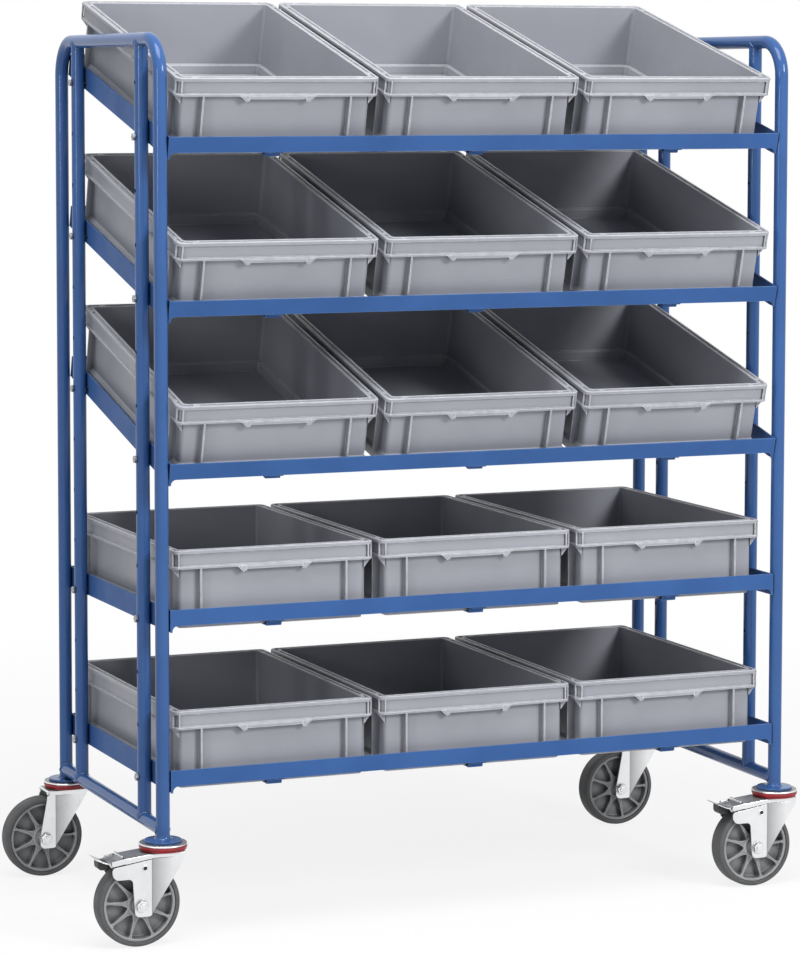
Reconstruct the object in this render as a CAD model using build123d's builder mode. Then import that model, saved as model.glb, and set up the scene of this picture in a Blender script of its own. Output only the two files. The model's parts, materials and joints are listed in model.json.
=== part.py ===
from build123d import *
from math import atan2, cos, hypot, sin
import os

os.makedirs("parts", exist_ok=True)

# Euro box trolley. Millimetres, +Z up, floor at Z = 0, origin in the middle of the footprint.
# The front is at -Y, the left end at -X, and the castors trail to the left.

# Tube frame
tube_diameter = 26.0
tube_wall = 2.0
frame_height = 1685.0  # floor to the top of the bows
bow_bend = 67.0  # bend radius on the tube axis
leg_inset = 10.0  # leg axis behind the lip's face
upright_inset = 107.0  # upright axis behind the leg axis
bar_above_foot = 17.0  # axis of the bottom bars above the foot of the legs
weld_gap = 0.05  # left between welded or bonded pieces

# Shelf holes in the uprights
hole_diameter = 8.5
hole_count = 14
first_hole_rise = 80.0  # lowest hole above the axis of the bottom bars
top_hole_drop = 93.0  # highest hole below the top of the bows
spare_levels = (1, 2)  # free holes that take one more shelf or a shelf-mounted fitting
small_sides = 8  # sides of the bolted holes and shanks, few because there are so many
hex_sides = 6

# Shelves, from the top down: front and rear hole, counted from the lowest
shelf_levels = {
    "shelf_1": (12, 13),
    "shelf_2": (9, 10),
    "shelf_3": (6, 7),
    "shelf_4": (3, 3),
    "shelf_5": (0, 0),
}
sheet = 3.0
lip_height = 30.0
ledge_gap = 1.0  # between the ledge along each lip, which carries the boxes, and the foot of a box
rail_height = 42.0
rail_below_bolt = 11.0
ear_width = 4.0  # the lip's ends reach down over the side rails
ear_fillet = 10.0
fillet_share = 0.9  # most of the height that a fillet may take
rail_fillet = 8.0
crossbar_width = 30.0
crossbar_tab = 16.0  # ends of the crossbars, welded under the ledges
crossbar_step = 3.0  # run of the step down from the tab to the bar

# Shelf bolts
bolt_diameter = 8.0
bolt_head_width = 13.0
bolt_head_height = 5.0
nut_height = 6.5

# Euro boxes
box_columns = ("left", "middle", "right")
box_gap = 13.5  # between two boxes of a row
box_play = 9.0  # between a box and the lips, front and rear
row_play = 27.0  # between the row of boxes and the side rails, both ends together
box_shift = -5.5  # the row of boxes stands a little to the left
box_set_back = 2.0
box_width = 400.0
box_length = 600.0
box_height = 147.5
box_wall = 3.0
box_corner = 12.0
band_height = 33.0  # hollow rim band around the top
body_inset = 14.0
hem_inset = 8.0  # the body widens again above its foot
hem_height = 34.0
hem_taper = 8.0
foot_inset = 17.0  # the foot stacks into the box below and drops between the ledges
foot_height = 13.0
rib_thickness = 4.0
end_rib_spacing = 290.0
side_rib_spacing = 504.0
gusset_height = 22.0
grip_width = 132.0
grip_drop = 6.0

# Castors
wheel_diameter = 160.0
tyre_width = 40.0
tyre_depth = 14.0
rim_width = 35.0
rim_lip = 5.0
web_thickness = 12.0
hub_diameter = 36.0
spoke_count = 9
spoke_root = 9.0
spoke_tip = 3.5
spoke_recess = 3.0  # spokes stand this far behind the edge of the rim
wheel_turns = {"front_left": -14.0, "front_right": -4.0, "rear_left": -1.0, "rear_right": 0.0}  # degrees
axle_diameter = 12.0
axle_nut_width = 19.0
axle_nut_height = 7.0
castor_trail = 52.0
wheel_to_crown = 16.0  # tyre to the top of the fork crown
crown_thickness = 4.0
fork_plate = 3.5
fork_gap = 52.0  # between the fork plates
crown_ahead = 36.0
leg_ahead = 19.0  # fork leg, ahead of, behind and below the axle
leg_behind = 12.0
leg_below = 21.0
leg_fillet = 9.0
plain_crown_behind = 49.0
braked_crown_behind = 82.0
housing_reach = 107.0  # brake housing behind the swivel axis
housing_end_drop = 20.0  # top and bottom of the housing's end, below the top of the crown
housing_bottom_drop = 45.0
housing_notch = 38.0
housing_fillet = 9.0
press_width = 28.0  # upright band pressed into the fork plates
press_back = 30.0  # swivel axis to the far edge of the band
press_depth = 1.2
press_drop = 7.0  # band below the crown
kingpin_diameter = 16.0
rivet_diameter = 26.0
rivet_height = 7.0
bearing_diameter = 58.0
bearing_height = 10.5
seal_bore = 62.0
seal_diameter = 90.0
head_plate_diameter = 93.0
head_plate_thickness = 3.5
foot_disc_diameter = 70.0
foot_disc_thickness = 5.0
running_fit = 0.05  # radial clearance on pins and axles
side_play = 0.3  # between the hub and the fork

# Brake pedals
pedal_reach = 144.0  # swivel axis to the tip
pedal_lip = 22.0  # turned-up end
pedal_lip_rise = 7.0
pedal_fall = 9.0  # from the crown to the foot of the turned-up end
pedal_width = 48.0
pedal_sheet = 2.5
pedal_top_drop = 3.0  # below the top of the crown
pedal_start_gap = 2.0
pivot_back = 45.0  # swivel axis to the pivot
pivot_drop = 26.0  # below the top of the crown
pivot_diameter = 8.0
pivot_clearance = 1.2  # between the pivot stubs and the tyre
pedal_eye = 8.0  # half width of the pedal's ears at the pivot
block_ahead = 12.0  # block ahead of and behind the foot of the turned-up end
block_behind = 14.0
block_drop = 28.0  # below the top of the crown
block_width = 38.0

# Places worked out from the driving dimensions
tube_radius = tube_diameter / 2
wheel_radius = wheel_diameter / 2
box_pitch = box_width + box_gap
row_length = len(box_columns) * box_pitch - box_gap
frame_length = row_length + row_play + 2 * sheet + tube_diameter
shelf_depth = box_length + 2 * (sheet + box_play)
flange_width = sheet + box_play + foot_inset - box_set_back - ledge_gap
leg_spacing = shelf_depth - 2 * leg_inset
upright_spacing = leg_spacing - 2 * upright_inset
leg_y = leg_spacing / 2
upright_y = upright_spacing / 2
bow_axis = frame_height - tube_radius
fork_height = wheel_diameter + wheel_to_crown
plate_bottom = fork_height + bearing_height
disc_bottom = plate_bottom + head_plate_thickness
leg_foot = disc_bottom + foot_disc_thickness
bottom_bar_height = leg_foot + bar_above_foot
first_hole_height = bottom_bar_height + first_hole_rise
hole_pitch = (frame_height - top_hole_drop - first_hole_height) / (hole_count - 1)
housing_end_height = fork_height - housing_end_drop
housing_bottom = fork_height - housing_bottom_drop
pivot_height = fork_height - pivot_drop
pedal_top = fork_height - pedal_top_drop
left_reach = max(pedal_reach, castor_trail + wheel_radius)
right_reach = max(head_plate_diameter / 2, crown_ahead, wheel_radius - castor_trail)
frame_middle = (left_reach - right_reach) / 2
end_places = {
    "left": frame_middle - frame_length / 2,
    "right": frame_middle + frame_length / 2,
}
row_sides = {"front": -1, "rear": 1}
outward = {"left": -1, "right": 1}
shelf_length = frame_length - tube_diameter
lip_top = rail_height - rail_below_bolt
lip_bottom = lip_top - lip_height
ledge_top = lip_bottom + sheet
front_face = (shelf_depth - upright_spacing) / 2  # lip face ahead of the front bolts
shelf_middle = upright_spacing / 2
box_bottom = ledge_top - foot_height


def hole_height(level):
    return first_hole_height + level * hole_pitch


def save(builder, name):
    builder.part.label = name
    export_step(builder.part, f"parts/{name}.step")


def shelf_plane(front_level, rear_level):
    # Origin on the front bolts, tilted about them
    rise = hole_height(rear_level) - hole_height(front_level)
    tilt = atan2(rise, upright_spacing)
    return Plane(
        origin=(frame_middle, -upright_y, hole_height(front_level)),
        x_dir=(1, 0, 0),
        z_dir=(0, -sin(tilt), cos(tilt)),
    )


# End frames: bow, two uprights and bottom bar
with BuildSketch() as tube_section:
    Circle(tube_radius)
    Circle(tube_radius - tube_wall, mode=Mode.SUBTRACT)
bend_start = bow_axis - bow_bend
for end, end_x in end_places.items():
    end_plane = Plane.YZ.offset(end_x)

    with BuildPart() as bow:
        for row_side in row_sides.values():
            with BuildSketch(Plane((end_x, row_side * leg_y, leg_foot))):
                add(tube_section.sketch)
            extrude(amount=bend_start - leg_foot)
            with BuildSketch(Plane((end_x, row_side * leg_y, bend_start))):
                add(tube_section.sketch)
            bend_middle = (end_x, row_side * (leg_y - bow_bend), bend_start)
            revolve(axis=Axis(bend_middle, (row_side, 0, 0)), revolution_arc=90)
        with BuildSketch(Plane.XZ.offset(leg_y - bow_bend)):
            with Locations((end_x, bow_axis)):
                add(tube_section.sketch)
        extrude(amount=-2 * (leg_y - bow_bend))
    save(bow, f"{end}_bow")

    with BuildPart() as bottom_bar:
        with BuildSketch(Plane.XZ.offset(-leg_y)):
            with Locations((end_x, bottom_bar_height)):
                add(tube_section.sketch)
        extrude(amount=leg_spacing)
        with Locations((end_x, -leg_y, bottom_bar_height), (end_x, leg_y, bottom_bar_height)):
            Cylinder(tube_radius + weld_gap, 2 * tube_diameter, mode=Mode.SUBTRACT)
    save(bottom_bar, f"{end}_bottom_bar")

    for row, row_side in row_sides.items():
        upright_place = row_side * upright_y
        spare_holes = [(upright_place, hole_height(level)) for level in spare_levels]
        other_levels = [level for level in range(hole_count) if level not in spare_levels]
        other_holes = [(upright_place, hole_height(level)) for level in other_levels]
        with BuildPart() as upright:
            with BuildSketch(Plane((end_x, upright_place, bottom_bar_height))):
                add(tube_section.sketch)
            extrude(amount=bow_axis - bottom_bar_height)
            with Locations(
                (end_x, upright_place, bottom_bar_height),
                (end_x, upright_place, bow_axis),
            ):
                Cylinder(
                    tube_radius + weld_gap,
                    2 * tube_diameter,
                    rotation=(90, 0, 0),
                    mode=Mode.SUBTRACT,
                )
            with BuildSketch(end_plane):
                with Locations(*spare_holes):
                    Circle(hole_diameter / 2)
                with Locations(*other_holes):
                    RegularPolygon(hole_diameter / 2, small_sides, major_radius=False)
            extrude(amount=tube_diameter, both=True, mode=Mode.SUBTRACT)
        save(upright, f"{end}_{row}_upright")

# Shelf frame around its front bolts: two lips with ledges, two side rails
slot_far = max(
    hypot(upright_spacing, hole_height(rear) - hole_height(front))
    for front, rear in shelf_levels.values()
)
with BuildPart() as shelf_rails:
    with BuildSketch(Plane.XZ.offset(front_face)):
        with Locations((0, lip_top)):
            Rectangle(shelf_length, lip_height, align=(Align.CENTER, Align.MAX))
        with Locations((-shelf_length / 2, lip_top)):
            Rectangle(ear_width, rail_height, align=(Align.MIN, Align.MAX))
        with Locations((shelf_length / 2, lip_top)):
            Rectangle(ear_width, rail_height, align=(Align.MAX, Align.MAX))
        inner_corners = vertices().group_by(Axis.Y)[1]
        fillet(inner_corners, min(ear_fillet, fillet_share * (rail_height - lip_height)))
    extrude(amount=-sheet)
    with BuildSketch(Plane.XY.offset(lip_bottom)):
        with Locations((0, -front_face)):
            Rectangle(
                shelf_length - 2 * sheet - 2 * weld_gap,
                flange_width,
                align=(Align.CENTER, Align.MIN),
            )
    extrude(amount=sheet)
    mirror(about=Plane.XZ.offset(-shelf_middle))
    for rail_face, inward in ((-shelf_length / 2, sheet), (shelf_length / 2, -sheet)):
        with BuildSketch(Plane.YZ.offset(rail_face)):
            with Locations((shelf_middle, -rail_below_bolt)):
                Rectangle(
                    shelf_depth - 2 * sheet - 2 * weld_gap,
                    rail_height,
                    align=(Align.CENTER, Align.MIN),
                )
            fillet(vertices().group_by(Axis.Y)[0], rail_fillet)
            RegularPolygon(
                hole_diameter / 2,
                small_sides,
                major_radius=False,
                mode=Mode.SUBTRACT,
            )
            with Locations(((upright_spacing + slot_far) / 2, 0)):
                Rectangle(
                    slot_far - upright_spacing + hole_diameter,
                    hole_diameter,
                    mode=Mode.SUBTRACT,
                )
        extrude(amount=inward)

# Crossbars, dished so that the foot of each box drops between the ledges
tab_end = shelf_depth / 2 - sheet - weld_gap
tab_start = tab_end - crossbar_tab
tab_top = lip_bottom - weld_gap
bar_end = tab_start - crossbar_step
column_places = [box_shift + step * box_pitch for step in (-1, 0, 1)]
with BuildPart() as shelf_crossbars:
    for column_x in column_places:
        with BuildSketch(Plane.YZ.offset(column_x - crossbar_width / 2)):
            with BuildLine():
                Polyline(
                    (shelf_middle, box_bottom),
                    (shelf_middle + bar_end, box_bottom),
                    (shelf_middle + tab_start, tab_top),
                    (shelf_middle + tab_end, tab_top),
                    (shelf_middle + tab_end, tab_top - sheet),
                    (shelf_middle + tab_start + sheet, tab_top - sheet),
                    (shelf_middle + bar_end + sheet, box_bottom - sheet),
                    (shelf_middle, box_bottom - sheet),
                    close=True,
                )
            make_face()
            mirror(about=Plane.YZ.offset(shelf_middle))
        extrude(amount=crossbar_width)

# Euro box, standing on the middle of its foot
band_bottom = box_height - band_height
box_half_width = box_width / 2
box_half_length = box_length / 2
with BuildPart() as euro_box:
    for inset, bottom, top in (
        (foot_inset, 0, foot_height),
        (hem_inset, foot_height, hem_height),
        (body_inset, hem_height, box_height),
        (0, band_bottom, box_height),
    ):
        with BuildSketch(Plane.XY.offset(bottom)):
            Rectangle(box_width - 2 * inset, box_length - 2 * inset)
            chamfer(vertices(), box_corner)
        extrude(amount=top - bottom)
    for inset, height in ((hem_inset, hem_height), (body_inset, hem_height + hem_taper)):
        with BuildSketch(Plane.XY.offset(height)):
            Rectangle(box_width - 2 * inset, box_length - 2 * inset)
            chamfer(vertices(), box_corner)
    loft()
    # The rim band is open below
    with BuildSketch(Plane.XY.offset(band_bottom)):
        Rectangle(box_width - 2 * box_wall, box_length - 2 * box_wall)
        chamfer(vertices(), box_corner)
        Rectangle(box_width - 2 * body_inset, box_length - 2 * body_inset, mode=Mode.SUBTRACT)
    extrude(amount=band_height - box_wall, mode=Mode.SUBTRACT)
    # Upright ribs join the band to the body
    rib_depth = body_inset - box_wall
    with BuildSketch(Plane.XY.offset(hem_height)):
        with GridLocations(end_rib_spacing, box_length - box_wall - body_inset, 2, 2):
            Rectangle(rib_thickness, rib_depth)
        with GridLocations(box_width - box_wall - body_inset, side_rib_spacing, 2, 2):
            Rectangle(rib_depth, rib_thickness)
    extrude(amount=box_height - box_wall - hem_height)
    # Gussets carry the band's corners, and a deeper edge in the band is the grip
    for row_side in (-1, 1):
        with BuildSketch(Plane.XZ.offset(row_side * (box_half_length - body_inset))):
            with BuildLine():
                Polyline(
                    (box_half_width - body_inset, band_bottom + box_wall),
                    (box_half_width - box_wall, band_bottom + box_wall),
                    (box_half_width - box_wall, band_bottom),
                    (box_half_width - body_inset, band_bottom - gusset_height),
                    close=True,
                )
            make_face()
            mirror(about=Plane.YZ)
        extrude(amount=-row_side * rib_thickness)
        with BuildSketch(Plane.XZ.offset(row_side * box_half_length)):
            with BuildLine():
                Polyline(
                    (-grip_width / 2, band_bottom),
                    (grip_width / 2, band_bottom),
                    (grip_width / 2 - grip_drop, band_bottom - grip_drop),
                    (grip_drop - grip_width / 2, band_bottom - grip_drop),
                    close=True,
                )
            make_face()
        extrude(amount=-row_side * box_wall)
    # Inside of the box and of its foot
    for inset, floor in (
        (body_inset + box_wall, foot_height + box_wall),
        (foot_inset + box_wall, box_wall),
    ):
        with BuildSketch(Plane.XY.offset(floor)):
            Rectangle(box_width - 2 * inset, box_length - 2 * inset)
            chamfer(vertices(), box_corner)
        extrude(amount=box_height - floor, mode=Mode.SUBTRACT)

# Shelves and boxes in their places
for shelf, (front_level, rear_level) in shelf_levels.items():
    plane = shelf_plane(front_level, rear_level)
    with BuildPart() as placed_rails:
        with Locations(plane.location):
            add(shelf_rails.part)
    save(placed_rails, f"{shelf}_rails")
    with BuildPart() as placed_crossbars:
        with Locations(plane.location):
            add(shelf_crossbars.part)
    save(placed_crossbars, f"{shelf}_crossbars")
    for column, column_x in zip(box_columns, column_places):
        box_place = Location((column_x, shelf_middle + box_set_back, box_bottom))
        with BuildPart() as placed_box:
            with Locations(plane.location * box_place):
                add(euro_box.part)
        save(placed_box, f"{shelf}_{column}_box")

# Shelf bolts with their nuts, through the uprights and the side rails
bolt_places = []
for front_level, rear_level in shelf_levels.values():
    bolt_places.append((-upright_y, hole_height(front_level)))
    bolt_places.append((upright_y, hole_height(rear_level)))
with BuildPart() as shelf_bolts:
    for end, end_x in end_places.items():
        out = outward[end]
        tube_outside = Plane.YZ.offset(end_x + out * tube_radius)
        rail_inside = Plane.YZ.offset(end_x - out * (tube_radius + sheet))
        with BuildSketch(tube_outside):
            with Locations(*bolt_places):
                RegularPolygon(bolt_head_width / 2, hex_sides, major_radius=False)
        extrude(amount=out * bolt_head_height)
        with BuildSketch(tube_outside):
            with Locations(*bolt_places):
                RegularPolygon(bolt_diameter / 2, small_sides)
        extrude(amount=-out * (tube_diameter + sheet + nut_height))
        with BuildSketch(rail_inside):
            with Locations(*bolt_places):
                RegularPolygon(bolt_head_width / 2, hex_sides, major_radius=False)
        extrude(amount=-out * nut_height)
save(shelf_bolts, "shelf_bolts")

# Castor heads on the four legs
castor_places = {
    f"{row}_{end}": (end_x, row_side * leg_y)
    for row, row_side in row_sides.items()
    for end, end_x in end_places.items()
}

with BuildPart() as foot_discs:
    with BuildSketch(Plane.XY.offset(disc_bottom)):
        with Locations(*castor_places.values()):
            Circle(foot_disc_diameter / 2)
    extrude(amount=foot_disc_thickness)
save(foot_discs, "foot_discs")

with BuildPart() as castor_heads:
    for radius, bottom, top in (
        (head_plate_diameter / 2, plate_bottom, disc_bottom),
        (kingpin_diameter / 2, fork_height - crown_thickness - running_fit, plate_bottom),
        (
            rivet_diameter / 2,
            fork_height - crown_thickness - running_fit - rivet_height,
            fork_height - crown_thickness - running_fit,
        ),
    ):
        with BuildSketch(Plane.XY.offset(bottom)):
            with Locations(*castor_places.values()):
                Circle(radius)
        extrude(amount=top - bottom)
save(castor_heads, "castor_heads")

with BuildPart() as swivel_bearings:
    with BuildSketch(Plane.XY.offset(fork_height)):
        with Locations(*castor_places.values()):
            Circle(bearing_diameter / 2)
            Circle(kingpin_diameter / 2 + running_fit, mode=Mode.SUBTRACT)
    extrude(amount=bearing_height)
save(swivel_bearings, "swivel_bearings")

with BuildPart() as seal_rings:
    with BuildSketch(Plane.XY.offset(fork_height)):
        with Locations(*castor_places.values()):
            Circle(seal_diameter / 2)
            Circle(seal_bore / 2, mode=Mode.SUBTRACT)
    extrude(amount=bearing_height)
save(seal_rings, "seal_rings")

# Castor around its swivel axis: forks, wheel and brake pedal
axle_x = -castor_trail
axle_z = wheel_radius
axle_line = Axis((axle_x, 0, axle_z), (0, 1, 0))
fork_outside = fork_gap / 2 + fork_plate
crown_bottom = fork_height - crown_thickness
leg_end = axle_z - leg_below

plain_outline = (
    (crown_ahead, crown_bottom),
    (-plain_crown_behind, crown_bottom),
    (axle_x - leg_behind, axle_z),
    (axle_x - leg_behind, leg_end),
    (axle_x + leg_ahead, leg_end),
)
braked_outline = (
    (crown_ahead, crown_bottom),
    (-pivot_back / 2, crown_bottom),
    (-housing_reach, housing_end_height),
    (-housing_reach, housing_bottom),
    (housing_notch - housing_reach, housing_bottom),
    (axle_x - leg_behind, leg_end),
    (axle_x + leg_ahead, leg_end),
)
forks = {}
for kind, crown_behind, outline in (
    ("rear", plain_crown_behind, plain_outline),
    ("front", braked_crown_behind, braked_outline),
):
    with BuildPart() as fork:
        with BuildSketch(Plane.XY.offset(crown_bottom)):
            with Locations((crown_ahead, 0)):
                Rectangle(
                    crown_ahead + crown_behind,
                    2 * fork_outside,
                    align=(Align.MAX, Align.CENTER),
                )
            chamfer(vertices(), leg_fillet)
            Circle(kingpin_diameter / 2 + running_fit, mode=Mode.SUBTRACT)
        extrude(amount=crown_thickness)
        with BuildSketch(Plane.XZ.offset(fork_outside)):
            with BuildLine():
                Polyline(*outline, close=True)
            make_face()
            if kind == "front":
                fillet(vertices().group_by(Axis.Y)[1], housing_fillet)
            fillet(vertices().group_by(Axis.Y)[0], leg_fillet)
            with Locations((axle_x, axle_z)):
                Circle(axle_diameter / 2 + running_fit, mode=Mode.SUBTRACT)
        extrude(amount=-fork_plate)
        with BuildSketch(Plane.XZ.offset(fork_outside)):
            with Locations((-press_back, crown_bottom - press_drop)):
                Rectangle(press_width, crown_bottom, align=(Align.MIN, Align.MAX))
        extrude(amount=-press_depth, mode=Mode.SUBTRACT)
        if kind == "front":
            with BuildSketch(Plane.XZ.offset(fork_outside)):
                with Locations((-pivot_back, pivot_height)):
                    Circle(pivot_diameter / 2)
            extrude(amount=tyre_width / 2 + pivot_clearance - fork_outside)
        mirror(about=Plane.XZ)
    forks[kind] = fork.part

with BuildPart() as axle:
    with BuildSketch(Plane.XZ.offset(fork_outside)):
        with Locations((axle_x, axle_z)):
            Circle(axle_diameter / 2)
    extrude(amount=-2 * fork_outside)
    for nut_face, nut_side in ((fork_outside, 1), (-fork_outside, -1)):
        with BuildSketch(Plane.XZ.offset(nut_face)):
            with Locations((axle_x, axle_z)):
                RegularPolygon(axle_nut_width / 2, hex_sides, major_radius=False)
        extrude(amount=nut_side * axle_nut_height)

rim_radius = wheel_radius - tyre_depth
ring_radius = rim_radius - rim_lip
hub_radius = hub_diameter / 2
bore_radius = axle_diameter / 2 + running_fit
hub_half = fork_gap / 2 - side_play
wheel_section = Plane((axle_x, 0, axle_z))  # radius along X, axle along Y
with BuildPart() as rim:
    with BuildSketch(wheel_section):
        with BuildLine():
            Polyline(
                (bore_radius, 0),
                (bore_radius, hub_half),
                (hub_radius, hub_half),
                (hub_radius, web_thickness / 2),
                (ring_radius, web_thickness / 2),
                (ring_radius, rim_width / 2),
                (rim_radius, rim_width / 2),
                (rim_radius, 0),
                close=True,
            )
        make_face()
        mirror(about=Plane.XZ)
    revolve(axis=axle_line)
    with BuildSketch(Plane((axle_x, 0, axle_z), x_dir=(1, 0, 0), z_dir=(0, -1, 0))):
        with PolarLocations(0, spoke_count):
            Polygon(
                (hub_radius - rim_lip, -spoke_root / 2),
                (ring_radius + rim_lip / 2, -spoke_tip / 2),
                (ring_radius + rim_lip / 2, spoke_tip / 2),
                (hub_radius - rim_lip, spoke_root / 2),
                align=None,
            )
    extrude(amount=rim_width / 2 - spoke_recess, both=True)

with BuildPart() as tyre:
    with BuildSketch(wheel_section):
        with Locations((wheel_radius, 0)):
            Rectangle(tyre_depth - weld_gap, tyre_width, align=(Align.MAX, Align.CENTER))
    revolve(axis=axle_line)

pedal_start = -braked_crown_behind - pedal_start_gap
pedal_bend = pedal_lip - pedal_reach
pedal_foot = pedal_top - pedal_fall
pedal_slope = pedal_fall / (pedal_start - pedal_bend)
lip_slope = pedal_lip_rise / pedal_lip
with BuildPart() as brake_pedal:
    with BuildSketch(Plane.XZ.offset(pedal_width / 2)):
        with BuildLine():
            Polyline(
                (pedal_start, pedal_top),
                (pedal_bend, pedal_foot),
                (-pedal_reach, pedal_foot + pedal_lip_rise),
                (-pedal_reach, pedal_foot + pedal_lip_rise - pedal_sheet),
                (pedal_bend, pedal_foot - pedal_sheet),
                (pedal_start, pedal_top - pedal_sheet),
                close=True,
            )
        make_face()
    extrude(amount=-pedal_width)
    with BuildSketch(Plane.XZ.offset(pedal_width / 2)):
        with BuildLine():
            Polyline(
                (pedal_start, pedal_top - pedal_sheet),
                (pedal_eye - pivot_back, pivot_height + pedal_eye),
                (pedal_eye - pivot_back, pivot_height - pedal_eye),
                (-pedal_eye - pivot_back, pivot_height - pedal_eye),
                (pedal_bend, pedal_foot - pedal_sheet),
                close=True,
            )
        make_face()
        with Locations((-pivot_back, pivot_height)):
            Circle(pivot_diameter / 2 + running_fit, mode=Mode.SUBTRACT)
    extrude(amount=-pedal_sheet)
    mirror(about=Plane.XZ)

with BuildPart() as brake_block:
    with BuildSketch(Plane.XZ.offset(block_width / 2)):
        with BuildLine():
            Polyline(
                (pedal_bend + block_ahead, pedal_foot - pedal_sheet + block_ahead * pedal_slope),
                (pedal_bend, pedal_foot - pedal_sheet),
                (pedal_bend - block_behind, pedal_foot - pedal_sheet + block_behind * lip_slope),
                (pedal_bend - block_behind, fork_height - block_drop),
                (pedal_bend + block_ahead, fork_height - block_drop),
                close=True,
            )
        make_face()
    extrude(amount=-block_width)

# Castors in their places, braked ones at the front
for castor, place in castor_places.items():
    row = castor.split("_")[0]
    pieces = {"fork": forks[row], "axle": axle.part, "tyre": tyre.part}
    if row == "front":
        pieces["brake_pedal"] = brake_pedal.part
        pieces["brake_block"] = brake_block.part
    pieces["rim"] = rim.part.rotate(axle_line, wheel_turns[castor])
    for piece, shape in pieces.items():
        with BuildPart() as placed_piece:
            with Locations(place):
                add(shape)
        save(placed_piece, f"{castor}_{piece}")
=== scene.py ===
import json
import math
import bmesh
import bpy
from mathutils import Matrix, Vector


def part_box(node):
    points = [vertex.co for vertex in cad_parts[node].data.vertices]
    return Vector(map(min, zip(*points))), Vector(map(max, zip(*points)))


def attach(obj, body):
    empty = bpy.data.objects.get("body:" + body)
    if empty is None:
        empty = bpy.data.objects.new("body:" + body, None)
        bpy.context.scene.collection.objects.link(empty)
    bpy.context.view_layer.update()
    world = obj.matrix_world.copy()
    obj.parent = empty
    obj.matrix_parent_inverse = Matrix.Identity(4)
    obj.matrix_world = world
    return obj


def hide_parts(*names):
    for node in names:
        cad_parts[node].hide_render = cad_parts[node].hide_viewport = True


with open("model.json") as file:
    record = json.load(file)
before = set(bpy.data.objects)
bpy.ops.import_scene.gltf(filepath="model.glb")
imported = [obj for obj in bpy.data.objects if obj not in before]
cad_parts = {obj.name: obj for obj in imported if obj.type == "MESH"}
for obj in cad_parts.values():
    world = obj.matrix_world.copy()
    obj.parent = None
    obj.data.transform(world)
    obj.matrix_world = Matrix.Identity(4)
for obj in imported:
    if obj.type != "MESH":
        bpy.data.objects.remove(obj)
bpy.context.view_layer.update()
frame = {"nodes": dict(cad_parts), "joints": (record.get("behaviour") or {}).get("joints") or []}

scene = bpy.context.scene
ends = ("left", "right")
rows = ("front", "rear")
shelves = (1, 2, 3, 4, 5)
print("frame loaded")

# Finishes: what they all share stands here, what differs stands in each look
wearAndPaintedLight = {"cloudSpan": (0.35, 0.65), "grainDetail": 2, "roughDetail": 4, "roughRoughness": 0.6,
        "roughSpan": (0.3, 0.7), "scuffDetail": 6, "scuffRoughness": 0.7, "scuffSpan": (0.66, 0.74),
        "edgeSamples": 4, "edgeSpan": (0.997, 0.92), "patchScale": 60, "patchSpan": (0.3, 0.6),
        "patchShare": (0.35, 1), "topShadeSpan": (0.80, 0.97), "topShadeMetal": 0.2,
        "creaseSamples": 6, "creaseSpan": (0.85, 0.30)}


def addNode(tree, kind, **settings):
    node = tree.nodes.new("ShaderNode" + kind)
    for key, value in settings.items():
        if key in node.inputs:
            node.inputs[key].default_value = value
        else:
            setattr(node, key, value)
    return node


def noiseOn(tree, spot, scale, detail=3.0, roughness=0.55, stretch=None):
    node = addNode(tree, "TexNoise", Scale=scale, Detail=detail, Roughness=roughness)
    if stretch:
        bend = addNode(tree, "Mapping", Scale=stretch)
        tree.links.new(spot, bend.inputs["Vector"])
        spot = bend.outputs["Vector"]
    tree.links.new(spot, node.inputs["Vector"])
    return node.outputs["Fac"]


def remap(tree, value, span, result):
    node = addNode(tree, "MapRange")
    for name, number in zip(("From Min", "From Max", "To Min", "To Max"), (*span, *result)):
        node.inputs[name].default_value = number
    tree.links.new(value, node.inputs["Value"])
    return node.outputs["Result"]


def combine(tree, operation, first, second):
    node = addNode(tree, "Math", operation=operation)
    tree.links.new(first, node.inputs[0])
    tree.links.new(second, node.inputs[1])
    return node.outputs["Value"]


def blendColour(tree, share, first, second):
    node = addNode(tree, "Mix", data_type="RGBA")
    tree.links.new(share, node.inputs[0])
    for socket, colour in ((node.inputs[6], first), (node.inputs[7], second)):
        if isinstance(colour, tuple):
            socket.default_value = (*colour, 1)
        else:
            tree.links.new(colour, socket)
    return node.outputs[2]


def addScuffs(tree, spot, colour, look):  # thin pale marks from use
    marks = noiseOn(tree, spot, look["scuffScale"], wearAndPaintedLight["scuffDetail"], wearAndPaintedLight["scuffRoughness"],
                    look["scuffStretch"])
    marks = remap(tree, marks, wearAndPaintedLight["scuffSpan"], (0, look["scuffShare"]))
    return blendColour(tree, marks, colour, look["scuff"])


def paintEdgeWearAndHighlight(tree, spot, colour, look):  # patchy wear and painted highlight along the edges
    soft = addNode(tree, "Bevel", samples=wearAndPaintedLight["edgeSamples"], Radius=look["edgeRadius"])
    flat = addNode(tree, "NewGeometry")
    turn = addNode(tree, "VectorMath", operation="DOT_PRODUCT")
    tree.links.new(soft.outputs["Normal"], turn.inputs[0])
    tree.links.new(flat.outputs["Normal"], turn.inputs[1])
    edgeWearAndHighlight = remap(tree, turn.outputs["Value"], wearAndPaintedLight["edgeSpan"], (0, look["edgeShare"]))
    patches = remap(tree, noiseOn(tree, spot, wearAndPaintedLight["patchScale"]), wearAndPaintedLight["patchSpan"], wearAndPaintedLight["patchShare"])
    return blendColour(tree, combine(tree, "MULTIPLY", edgeWearAndHighlight, patches), colour, look["edge"])


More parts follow.
